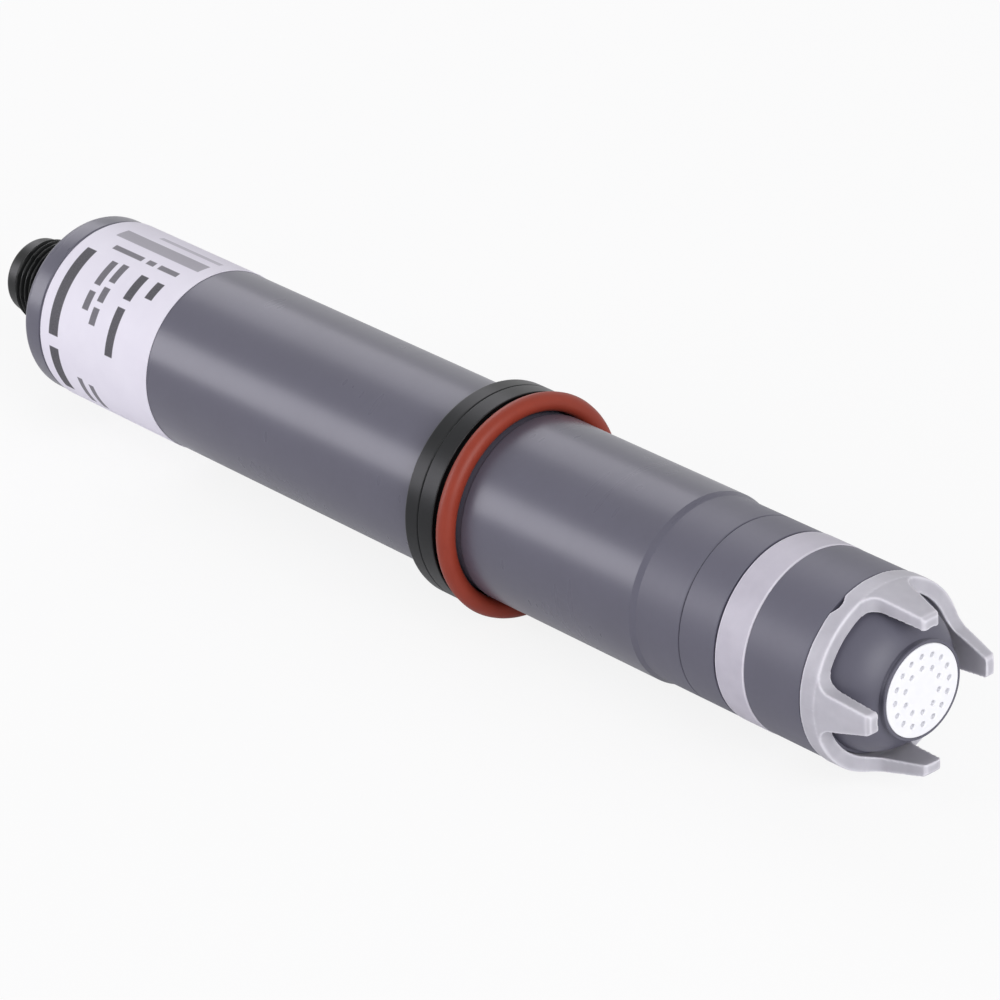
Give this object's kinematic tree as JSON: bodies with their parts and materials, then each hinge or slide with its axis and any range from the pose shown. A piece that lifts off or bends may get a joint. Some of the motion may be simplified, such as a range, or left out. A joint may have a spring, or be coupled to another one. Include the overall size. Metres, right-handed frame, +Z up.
{
  "type": "chlorine sensor probe",
  "caption": "Membrane-covered amperometric chlorine sensor probe: plug-in shaft with sealing collar, screwed membrane cap, vent band and pronged guard.",
  "frame": {"origin": "on the probe's axis 0.1 mm in front of the seat seal, where the plain shaft that goes into the fitting begins", "axes": "+X along the axis from the plug to the membrane, +Z up with one guard prong on it, +Y to the left when looking along +X"},
  "size_m": [0.1746, 0.0302, 0.0302],
  "materials": {
    "black_plastic": "satin",
    "gold_plate": "polished",
    "black_rubber": "satin",
    "grey_pvc": "satin",
    "white_film": "satin",
    "dark_ring": "satin",
    "red_rubber": "satin",
    "board_laminate": "satin",
    "chip_plastic": "matte",
    "capacitor_can": "satin",
    "copper_lead": "tinned",
    "carrier_plastic": "satin",
    "silver_sleeve": "satin",
    "clear_silicone": "translucent satin",
    "guard_plastic": "translucent satin",
    "gasket_rubber": "matte",
    "white_membrane": "matte"
  },
  "bodies": {
    "shaft_assembly": {"connector_shell": "black_plastic", "connector_insert": "black_plastic", "contact_pin_1": "gold_plate", "contact_pin_2": "gold_plate", "contact_pin_3": "gold_plate", "contact_pin_4": "gold_plate", "contact_pin_5": "gold_plate", "connector_seal": "black_rubber", "end_cap": "grey_pvc", "end_cap_seal": "black_rubber", "housing": "grey_pvc", "housing_label": "white_film", "clamp_ring": "dark_ring", "contact_board": "board_laminate", "circuit_board": "board_laminate", "isolation_module": "chip_plastic", "converter_chip": "chip_plastic", "amplifier_chip": "chip_plastic", "filter_capacitor": "capacitor_can", "working_lead": "copper_lead", "reference_lead": "copper_lead", "electrode_carrier": "carrier_plastic", "carrier_seal": "black_rubber", "reference_electrode": "silver_sleeve", "working_electrode": "gold_plate"},
    "seal_slider": {"seat_seal": "red_rubber"},
    "slip_ring": {"slip_ring": "dark_ring"},
    "cap_seal": {"cap_seal": "black_rubber"},
    "membrane_head": {"membrane_cap": "grey_pvc", "vent_band": "clear_silicone", "membrane_gasket": "gasket_rubber", "membrane": "white_membrane", "membrane_cover": "white_membrane"},
    "guard": {"membrane_guard": "guard_plastic"}
  },
  "joints": [
    {"name": "seat_seal_slide", "type": "slide", "parent": "shaft_assembly", "child": "seal_slider", "axis": [1, 0, 0], "range_m": [0, 0.029]},
    {"name": "slip_ring_turn", "type": "hinge", "parent": "seal_slider", "child": "slip_ring", "pos_m": [0, 0, 0], "axis": [1, 0, 0], "continuous": true},
    {"name": "cap_travel", "type": "slide", "parent": "shaft_assembly", "child": "cap_seal", "axis": [1, 0, 0], "range_m": [0, 0.006]},
    {"name": "cap_turn", "type": "hinge", "parent": "cap_seal", "child": "membrane_head", "pos_m": [0, 0, 0], "axis": [1, 0, 0], "range_deg": [0, 1440]},
    {"name": "guard_pull", "type": "slide", "parent": "membrane_head", "child": "guard", "axis": [1, 0, 0], "range_m": [0, 0.012]}
  ],
  "couplings": [
    {"joint": "cap_travel", "follows": "cap_turn", "m_per_rad": 0.00023873}
  ]
}
